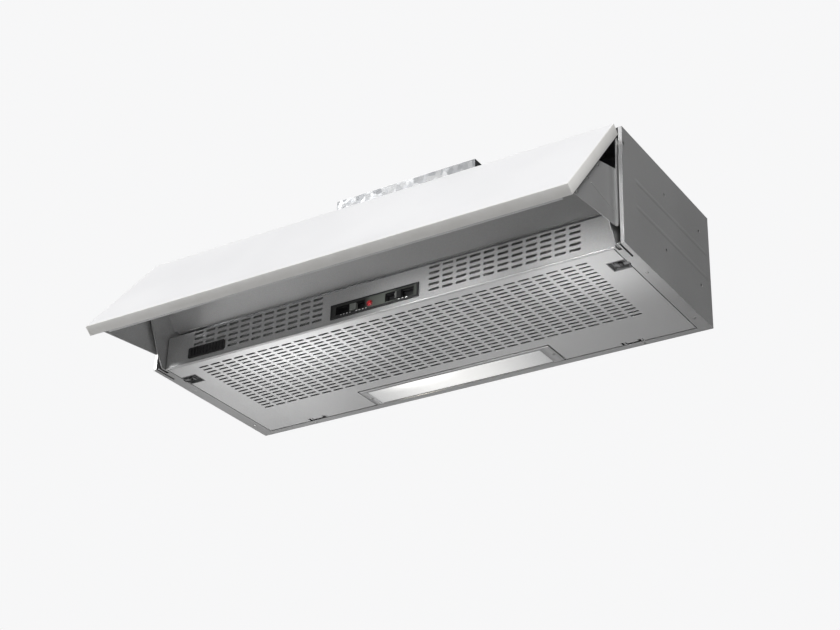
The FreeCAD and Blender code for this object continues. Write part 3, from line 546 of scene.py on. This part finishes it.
def face_lips():
    bm = bmesh.new()
    put = lambda u, v, w: P(u, 10.0 + w, v)
    for side in (-1, 1):
        for i in range(11):
            for j in range(5):
                cu, cv = side * (112.5 + 25.0 * i), 15.5 + 10.0 * j
                if -386 < cu < -300 and cv < 31:
                    continue
                slot_ring(bm, put, cu, cv, 20.0, 4.6, LIP)
    return piece("face_slot_lips", bm, M["silver_paint"], "hood_body")


grille_lips()
face_lips()


# ------------------------------------------------------------------ rolled hem of the slotted face
def face_hem():
    bm = bmesh.new()
    prof = [(10.05, 4.0)]
    for i in range(9):
        a = math.radians(90 + 180.0 * i / 8)
        prof.append((10.05 + 1.6 * math.cos(a), 1.95 + 1.75 * math.sin(a)))
    prof.append((10.05, 0.12))
    rings = []
    for x, k in ((-429.6, 0.80), (-429.0, 1.0), (-215, 1.0), (0, 1.0), (215, 1.0), (429.0, 1.0), (429.6, 0.80)):
        rings.append([bm.verts.new(P(x, 10.05 + (y - 10.05) * k, 1.95 + (z - 1.95) * k)) for y, z in prof])
    strip_rings(bm, rings, True, True)
    return piece("face_hem_roll", bm, M["silver_hem"], "hood_body")


# ------------------------------------------------------------------ front panel with its edge bands
def decor_panel():
    X, Z0, Z1, Y0, Y1 = 448.5, -70.0, 172.0, -28.0, -10.0
    t = 1.2
    bm = bmesh.new()
    put = lambda u, v, w: PF(u, w, v)
    # board core, its faces a hair behind the bands
    e = 0.12
    rings = []
    for w, inset in ((Y0 + 0.02, e), (Y0 + 0.02 + e, 0.0), (Y1 - 0.02 - e, 0.0), (Y1 - 0.02, e)):
        rings.append([bm.verts.new(put(u, v, w)) for u, v in (
            (-X + t + inset, Z0 + t + inset), (X - t - inset, Z0 + t + inset), (X - t - inset, Z1 - t - inset), (-X + t + inset, Z1 - t - inset))])
    strip_rings(bm, rings, True, True)
    board_o = piece("panel_board", bm, M["white_board"], "flap", 30.0, ("decor_panel",))
    # four-sided band, rounded on its outer edges
    bm = bmesh.new()
    rings = []
    for w, inset in ((Y0 + 0.12, t), (Y0, t - 0.12), (Y0, 0.90), (Y0 + 0.12, 0.54), (Y0 + 0.27, 0.27), (Y0 + 0.54, 0.12), (Y0 + 0.90, 0.0),
                     (Y1 - 0.55, 0.0), (Y1 - 0.16, 0.16), (Y1, 0.55), (Y1, t - 0.12), (Y1 - 0.12, t)):
        pts = rounded_rect(-X + inset, X - inset, Z0 + inset, Z1 - inset, 0.9 if inset < 0.5 else 0.3, 3)
        rings.append([bm.verts.new(put(u, v, w)) for u, v in pts])
    loop_rings(bm, rings)
    piece("panel_edge_band", bm, M["edge_band"], "flap", 50.0)
    return board_o


# ------------------------------------------------------------------ light cover
def lamp_cover():
    bm = bmesh.new()
    rings = []
    mats = []
    for x0, x1, y0, y1, r, w, m in (
            (-188.1, 188.1, 244.9, 304.1, 1.8, 0.9, 0), (-188.5, 188.5, 244.5, 304.5, 2.2, 0.5, 0), (-188.5, 188.5, 244.5, 304.5, 2.2, -0.45, 0),
            (-188.38, 188.38, 244.62, 304.38, 2.1, -0.78, 0), (-188.05, 188.05, 244.95, 304.05, 1.9, -0.9, 0),
            (-176.0, 169.0, 252.6, 302.4, 2.4, -0.9, 0), (-175.8, 168.8, 252.8, 302.2, 2.2, -0.78, 2), (-175.6, 168.6, 253.0, 302.0, 2.0, -0.1, 2),
            (-175.0, 168.0, 253.6, 301.4, 1.8, -0.1, 2), (-174.8, 167.8, 253.8, 301.2, 1.8, -0.55, 1), (-173.6, 166.6, 255.0, 299.8, 1.6, -0.78, 1),
            (-168.0, 161.0, 259.0, 295.8, 1.4, -0.86, 1), (-150.0, 143.0, 268.0, 287.0, 1.0, -0.89, 1)):
        pts = rounded_rect(x0, x1, y0, y1, r, 4)
        rings.append([bm.verts.new(P(u, v, w)) for u, v in pts])
        mats.append(m)
    for a, b, m in zip(rings[:-1], rings[1:], mats[1:]):
        strip_rings(bm, [a, b], True, False, m)
    bm.faces.new(list(reversed(rings[0])))
    f = bm.faces.new(rings[-1])
    f.material_index = 1
    return piece("light_cover", bm, [M["cover_flange"], M["lens_plastic"], M["cover_groove"]], "hood_body", 35.0, ("lamp_cover",))


# ------------------------------------------------------------------ control window marks
def control_marks():
    bm = bmesh.new()
    put = lambda u, v, w: P(u, w, v)
    for u, h in ((-63.0, 1.0), (-57.6, 1.3), (-51.4, 1.3), (-45.6, 1.0), (-33.0, 1.5), (-27.0, 1.7), (-20.6, 1.5), (-14.6, 1.3)):
        block(bm, put, u - h, u + h, 12.66, 14.54, 7.62, 7.86, 0.5, 0.05, 3)
    for u in (48.5, 55.6, 62.8):
        pts = [(u - 2.3, 12.66), (u + 2.3, 12.66), (u + 0.8, 14.54), (u - 0.8, 14.54)]
        a = [bm.verts.new(put(x, z, 7.62)) for x, z in pts]
        b = [bm.verts.new(put(x, z, 7.86)) for x, z in pts]
        strip_rings(bm, [a, b], True, True)
    piece("control_marks", bm, M["mark_white"], "hood_body", 30.0)
    # collar round the pilot lamp
    bm = bmesh.new()
    put = lambda u, v, w: P(-7.5 + u, w, 20.5 + v)
    prof = [(4.0, 7.9), (4.0, 6.9), (4.25, 6.6), (4.9, 6.62), (5.4, 6.95), (5.55, 7.9)]
    rings = [[bm.verts.new(put(r * math.cos(2 * math.pi * i / 32), r * math.sin(2 * math.pi * i / 32), w)) for i in range(32)] for r, w in prof]
    loop_rings(bm, rings)
    piece("pilot_collar", bm, M["red_collar"], "hood_body", 50.0)


# ------------------------------------------------------------------ sheet metal details
def rivet(bm, put, r=2.4, h=0.9):
    lathe(bm, put, [(r, -0.15), (r, 0.05), (r * 0.96, h * 0.35), (r * 0.78, h * 0.72), (r * 0.45, h * 0.95), (r * 0.12, h)], 20)


def cheek_details():
    for side, nm in ((-1, "left"), (1, "right")):
        bm = bmesh.new()
        for y, z in ((-2.0, -34.0), (-2.0, 20.0), (-1.0, 71.5)):
            put = lambda u, v, w: PF(side * (441.0 + w), y + u, z + v)
            rivet(bm, put, 2.3, 0.85)
        # pressed crease from the lower corner up to the middle
        put2 = lambda t, w, h: PF(side * (441.0 + h), 8.0 + 62.0 * t - 0.52 * w, 24.0 + 38.0 * t + 0.85 * w)
        rings = []
        for t, kk in ((0.0, 0.15), (0.04, 0.6), (0.1, 1.0), (0.9, 1.0), (0.96, 0.6), (1.0, 0.15)):
            rings.append([bm.verts.new(put2(t, w, h * kk)) for w, h in ((-2.2, -0.12), (-1.1, 0.22), (0.0, 0.5), (1.1, 0.22), (2.2, -0.12), (0.0, -0.3))])
        strip_rings(bm, rings, True, True, 1)
        # pressed boss round the hinge stud
        put = lambda u, v, w: PF(side * (441.0 + w), HINGE_Y + u, HINGE_Z + v)
        prof = [(4.2, -0.1), (4.2, 0.42), (4.7, 0.62), (6.2, 0.55), (7.2, 0.2), (7.6, -0.1)]
        rings = [[bm.verts.new(put(r * math.cos(2 * math.pi * i / 28), r * math.sin(2 * math.pi * i / 28), w)) for i in range(28)] for r, w in prof]
        loop_rings(bm, rings)
        piece("cheek_rivets_" + nm, bm, [M["screw_steel"], M["silver_paint"]], "flap", 45.0)


def top_details():
    """pressed beads on the top plate, beads on the spigot"""
    bm = bmesh.new()

    def bead(put, l0, l1, w0=5.0, h=1.1):
        rings = []
        for l, k in ((l0, 0.05), (l0 + 3, 0.5), (l0 + 7, 0.9), (l0 + 12, 1.0), (l1 - 12, 1.0), (l1 - 7, 0.9), (l1 - 3, 0.5), (l1, 0.05)):
            ring = []
            for i in range(9):
                a = math.pi * i / 8
                ring.append(bm.verts.new(put(l, w0 * k * math.cos(a), h * k * math.sin(a) - 0.04)))
            ring.append(bm.verts.new(put(l, -w0 * 0.8 * k, -0.3)))
            ring.append(bm.verts.new(put(l, w0 * 0.8 * k, -0.3)))
            rings.append(ring)
        strip_rings(bm, rings, True, True)

    for y in (48.0,):
        bead(lambda l, u, h: P(l, y + u, 205.0 + h), -400, 400)
    for x in (-395, -300 + 60, 240, 395):
        if abs(x + 395) < 1:
            bead(lambda l, u, h: P(x + u, l, 205.0 + h), 80, 300)
        else:
            bead(lambda l, u, h: P(x + u, l, 205.0 + h), 80, 300)
    piece("top_beads", bm, M["galvanised_sheet"], "hood_body", 60.0)
    bm = bmesh.new()
    put = lambda u, v, w: P(u, 232.0 + v, w)
    for z in (322.0, 333.0):
        prof = [(74.5, z - 2.4), (75.0, z - 1.9), (75.5, z - 1.0), (75.7, z), (75.5, z + 1.0), (75.0, z + 1.9), (74.5, z + 2.4), (74.2, z)]
        rings = [[bm.verts.new(put(r * math.cos(2 * math.pi * i / 96), r * math.sin(2 * math.pi * i / 96), w)) for i in range(96)] for r, w in prof]
        loop_rings(bm, rings)
    prof = [(72.2, 344.2), (72.5, 344.95), (73.4, 345.0), (74.4, 344.95), (75.0, 344.3), (74.9, 343.5), (74.4, 343.2), (72.8, 343.3)]
    rings = [[bm.verts.new(put(r * math.cos(2 * math.pi * i / 96), r * math.sin(2 * math.pi * i / 96), w)) for i in range(96)] for r, w in prof]
    loop_rings(bm, rings)
    piece("spigot_beads", bm, M["grey_plastic"], "hood_body", 60.0)


# ------------------------------------------------------------------ latch finger hooks
def latch_hooks():
    """curled black finger hook on each latch slider: along the front, round the corner and back"""
    path = [(408.6, 57.9), (409.6, 57.2), (411.6, 56.9), (413.6, 57.0), (415.2, 57.9), (416.0, 59.5), (416.3, 61.4), (416.2, 63.2), (415.8, 64.8)]
    for side, nm in ((-1, "left"), (1, "right")):
        bm = bmesh.new()
        rings = []
        for i, (u, v) in enumerate(path):
            a = Vector(path[max(0, i - 1)])
            b = Vector(path[min(len(path) - 1, i + 1)])
            t = (b - a).normalized()
            n = Vector((t.y, -t.x))
            k = 0.75 if i in (0, len(path) - 1) else 1.0
            sec = [(-1.3, 3.9), (-1.3, 1.0), (-1.0, 0.45), (-0.35, 0.2), (0.45, 0.25), (1.05, 0.6), (1.3, 1.2), (1.3, 3.9)]
            rings.append([bm.verts.new(P(side * (u + n.x * w * k), v + n.y * w * k, z)) for w, z in sec])
        strip_rings(bm, rings, True, True)
        piece("latch_hook_" + nm, bm, M["black_plastic"], LATCH_BODY[side], 50.0)


LATCH_BODY = {-1: "latch_left", 1: "latch_right"}


# ------------------------------------------------------------------ aluminium mesh behind the face's slots
def mesh_pads():
    bm = bmesh.new()
    import random
    rnd = random.Random(7)
    for side in (-1, 1):
        for layer in range(2):
            yb = 12.12 + layer * 0.78
            for row in range(24):
                z0 = 13.55 + row * 1.86 + layer * 0.55
                prev = None
                xs = 99.3
                i = 0
                while xs < 378.6:
                    z = z0 + (0.62 if i % 2 else -0.62) + rnd.uniform(-0.12, 0.12)
                    y = yb + rnd.uniform(-0.18, 0.18)
                    tw = rnd.uniform(-0.9, 0.9)
                    h = 0.36
                    a = bm.verts.new(P(side * xs, y + tw * 0.22, z - h))
                    b = bm.verts.new(P(side * xs, y - tw * 0.22, z + h))
                    c = bm.verts.new(P(side * xs, y - tw * 0.22 + 0.1, z + h))
                    d = bm.verts.new(P(side * xs, y + tw * 0.22 + 0.1, z - h))
                    ring = [a, b, c, d]
                    if prev:
                        strip_rings(bm, [prev, ring])
                    else:
                        bm.faces.new(list(reversed(ring)))
                    prev = ring
                    xs += 1.9 + rnd.uniform(-0.25, 0.25)
                    i += 1
                bm.faces.new(prev)
    return piece("mesh_pads", bm, M["aluminium_mesh"], "hood_body", None, ("front_mesh",))


face_hem()
decor_panel()
lamp_cover()
control_marks()
cheek_details()
top_details()
mesh_pads()
latch_hooks()

# ------------------------------------------------------------------ studio
def floor():
    me = bpy.data.meshes.new("studio_floor")
    bm = bmesh.new()
    s = 14.0
    vs = [bm.verts.new((x * s, y * s, -3.3)) for x, y in ((-1, -1), (1, -1), (1, 1), (-1, 1))]
    bm.faces.new(vs)
    bm.to_mesh(me)
    bm.free()
    o = bpy.data.objects.new("studio_floor", me)
    bpy.context.scene.collection.objects.link(o)
    k = Mat("studio_floor")
    g = k.noise(900.0, 2.0)
    o.data.materials.append(k.bsdf(k.mix(k.remap(g, 0.3, 0.7, 0, 1), (0.78, 0.78, 0.78), (0.82, 0.82, 0.82)), 0.7))
    return o


floor()

world = bpy.data.worlds.new("studio")
bpy.context.scene.world = world
world.use_nodes = True
wn = world.node_tree.nodes
wl = world.node_tree.links
wn.clear()
w_out = wn.new("ShaderNodeOutputWorld")
w_cam = wn.new("ShaderNodeBackground")
w_cam.inputs["Color"].default_value = (0.93, 0.93, 0.935, 1)
w_cam.inputs["Strength"].default_value = 1.0
w_lit = wn.new("ShaderNodeBackground")
w_lit.inputs["Color"].default_value = (1.0, 1.0, 1.0, 1)
w_lit.inputs["Strength"].default_value = 0.000
w_path = wn.new("ShaderNodeLightPath")
w_mix = wn.new("ShaderNodeMixShader")
wl.new(w_path.outputs["Is Camera Ray"], w_mix.inputs[0])
wl.new(w_lit.outputs[0], w_mix.inputs[1])
wl.new(w_cam.outputs[0], w_mix.inputs[2])
wl.new(w_mix.outputs[0], w_out.inputs[0])


def area(name, loc, target, size, power, color=(1, 1, 1), size_y=None):
    d = bpy.data.lights.new(name, "AREA")
    d.energy = power
    d.size = size
    if size_y:
        d.shape = "RECTANGLE"
        d.size_y = size_y
    d.color = color
    o = bpy.data.objects.new(name, d)
    bpy.context.scene.collection.objects.link(o)
    o.location = loc
    o.rotation_mode = "QUATERNION"
    o.rotation_quaternion = (Vector(target) - Vector(loc)).to_track_quat("-Z", "Y")
    return o


LIGHTS = {
    "front_right_top": ((2.6, -2.6, 1.8), (0, -0.15, 0.0), 2.0, None, 180, 120.371),
    "front_left_top": ((-2.6, -2.6, 1.8), (0, -0.15, 0.0), 2.0, None, 180, 105.431),
    "front_right_low": ((2.8, -2.0, -1.2), (0, -0.15, 0.0), 1.8, None, 180, 15.927),
    "front_top": ((0.0, -3.0, 2.5), (0, -0.15, 0.0), 2.2, None, 180, 13.341),
    "front_left_low": ((-2.6, -2.2, -1.4), (0, -0.15, 0.0), 1.8, None, 180, 13.138),
    "left_low": ((-2.8, 0.0, -2.2), (0, -0.15, 0.0), 1.8, None, 180, 9.415),
    "back_low": ((-1.2, 1.9, -2.2), (0, -0.15, 0.0), 0.8, None, 180, 7.86),
    "rear_fill": ((-0.55, 0.1, -0.35), (-0.25, -0.25, 0.0), 0.3, 0.3, 180, 0.428),
    "under_front_left": ((-0.19, -0.25, -0.17), (-0.19, -0.25, 0.0), 0.26, 0.05, 74, 0.105),
    "under_front_right": ((0.36, -0.25, -0.17), (0.36, -0.25, 0.0), 0.16, 0.05, 80, 0.062),
    "face_centre": ((0.12, -0.5, -0.03), (0.12, -0.31, 0.0), 0.25, 0.03, 46, 0.065),
    "face_right": ((0.36, -0.5, -0.03), (0.36, -0.31, 0.0), 0.16, 0.03, 46, 0.048),
}
for nm, (loc, tgt, size, size_y, spread, power) in LIGHTS.items():
    lamp_o = area(nm, loc, tgt, size, power, size_y=size_y)
    lamp_o.data.spread = math.radians(spread)
    lamp_o.visible_camera = False

# ------------------------------------------------------------------ camera
yaw, pitch, roll = 0.5795, 0.4794, -0.0313
cam_d = bpy.data.cameras.new("camera")
cam = bpy.data.objects.new("camera", cam_d)
bpy.context.scene.collection.objects.link(cam)
R = Matrix.Rotation(yaw, 3, "Z") @ Matrix.Rotation(pitch, 3, "X") @ Matrix.Rotation(roll, 3, "Y")
right, fwd, up = R.col[0], R.col[1], R.col[2]
cam.matrix_world = Matrix((
    (right[0], up[0], -fwd[0], 1.39836),
    (right[1], up[1], -fwd[1], -2.31177),
    (right[2], up[2], -fwd[2], -1.26819),
    (0, 0, 0, 1)))
cam_d.sensor_width = 36.0
cam_d.lens = 1721.01 * 36.0 / 840.0
cam_d.clip_start, cam_d.clip_end = 0.05, 60.0
bpy.context.scene.camera = cam

sc = bpy.context.scene
sc.view_settings.view_transform = "Standard"
sc.view_settings.look = "None"
